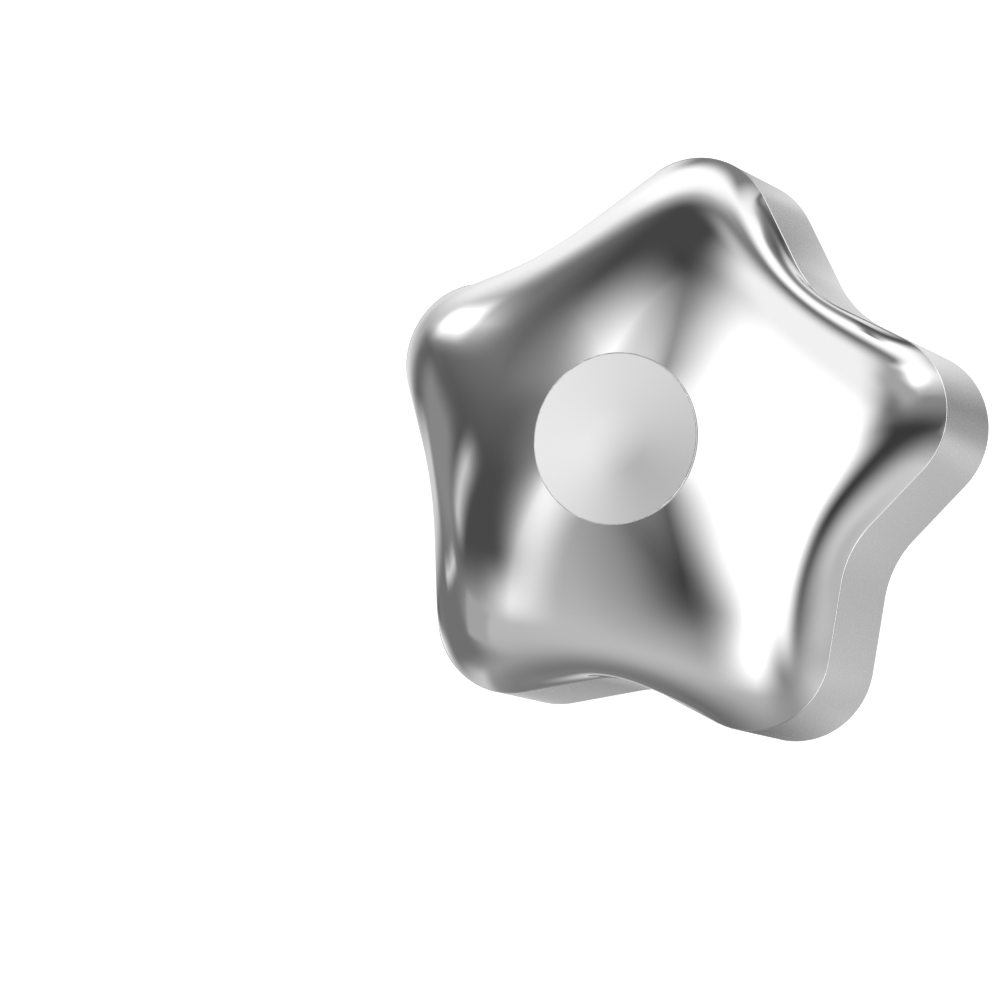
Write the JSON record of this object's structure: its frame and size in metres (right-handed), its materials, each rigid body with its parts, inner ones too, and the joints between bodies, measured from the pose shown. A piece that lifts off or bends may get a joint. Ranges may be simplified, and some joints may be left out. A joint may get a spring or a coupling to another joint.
{
  "type": "star knob",
  "caption": "Solid metal star knob with a domed polished crown, satin sides, a satin cover disc and a long hub with a countersunk threaded blind bore.",
  "frame": {"origin": "centre of the hub's end face, which meets the thing that the knob tightens", "axes": "+Z along the knob's axis from the hub's end to the crown, +X through the tip of one lobe"},
  "size_m": [0.0465, 0.0482, 0.0455],
  "materials": {
    "head_steel": "mirror-polished crown, fine satin sides and back",
    "bushing_steel": "fine turned, bright",
    "disc_steel": "satin turned"
  },
  "bodies": {
    "root": {"star_head": "head_steel", "threaded_bushing": "bushing_steel", "cover_disc": "disc_steel"}
  },
  "joints": []
}
